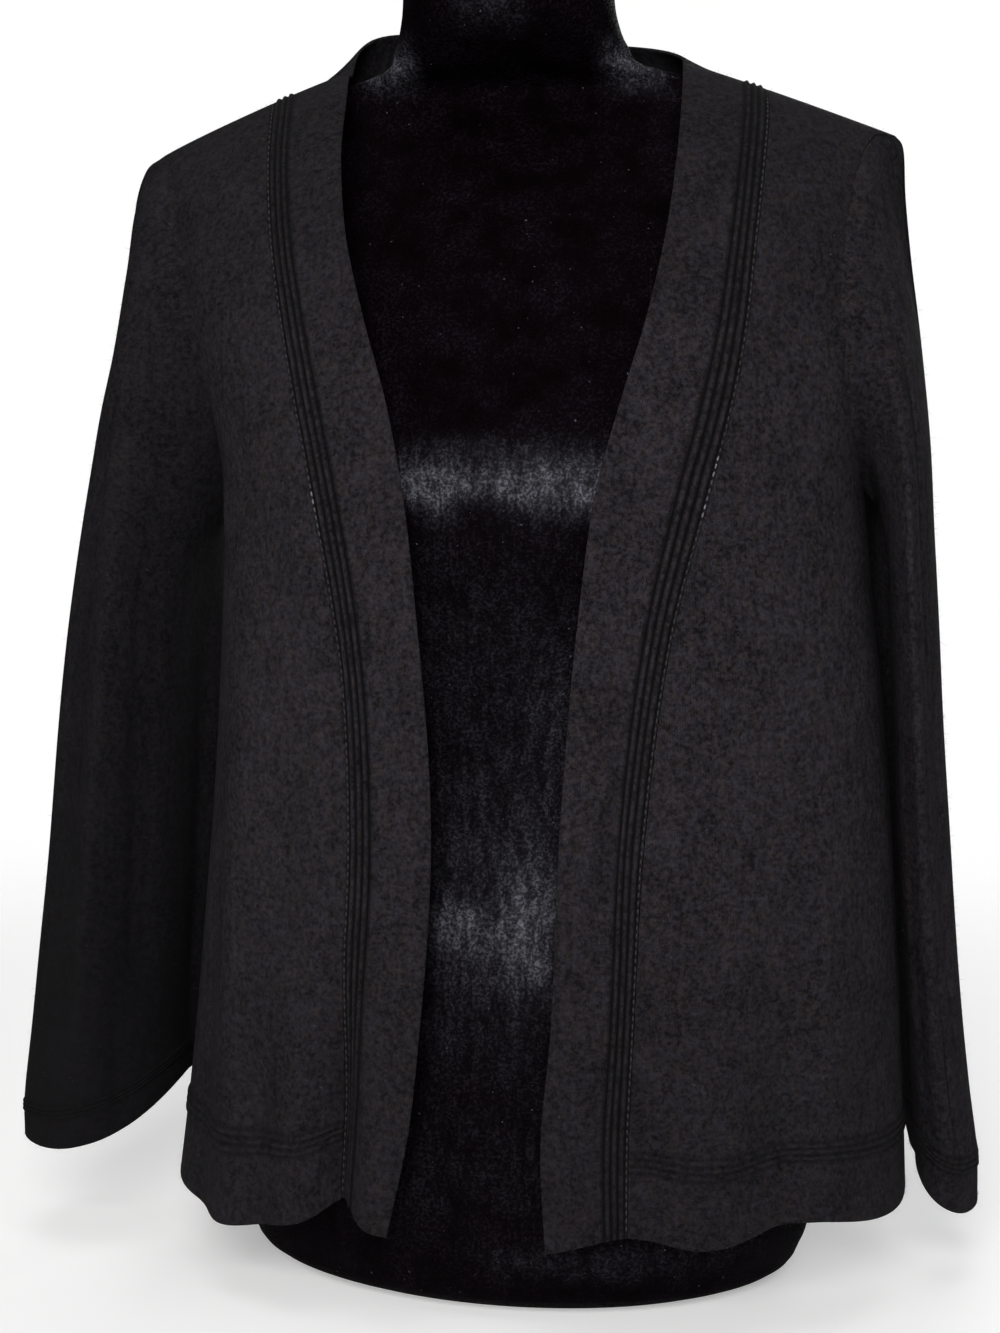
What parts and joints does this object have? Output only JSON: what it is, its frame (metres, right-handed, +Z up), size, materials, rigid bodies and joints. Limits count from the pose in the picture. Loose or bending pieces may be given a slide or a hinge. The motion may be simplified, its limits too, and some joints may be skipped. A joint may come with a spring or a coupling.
{
  "type": "open-front cropped cardigan worn by a limbless velvet dress form",
  "caption": "Cropped open-front knit cardigan with ribbed front bands, ribbed hem lines and long loose sleeves, worn by a velvet-covered torso form that stands on its flat underside.",
  "frame": {"origin": "middle of the dress form's flat underside, on the surface it stands on", "axes": "+Z up, -Y the way the front of the cardigan faces, +X to the right seen from the front"},
  "size_m": [0.524, 0.2415, 0.7],
  "materials": {
    "knit": "matte fine-gauge knit in faded black",
    "velvet": "black velvet with a soft sheen"
  },
  "bodies": {
    "root": {"dress_form": "velvet", "back": "knit", "front_left": "knit", "front_right": "knit", "band_left": "knit", "band_right": "knit", "band_neck": "knit", "sleeve_left": "knit", "sleeve_right": "knit"}
  },
  "joints": []
}
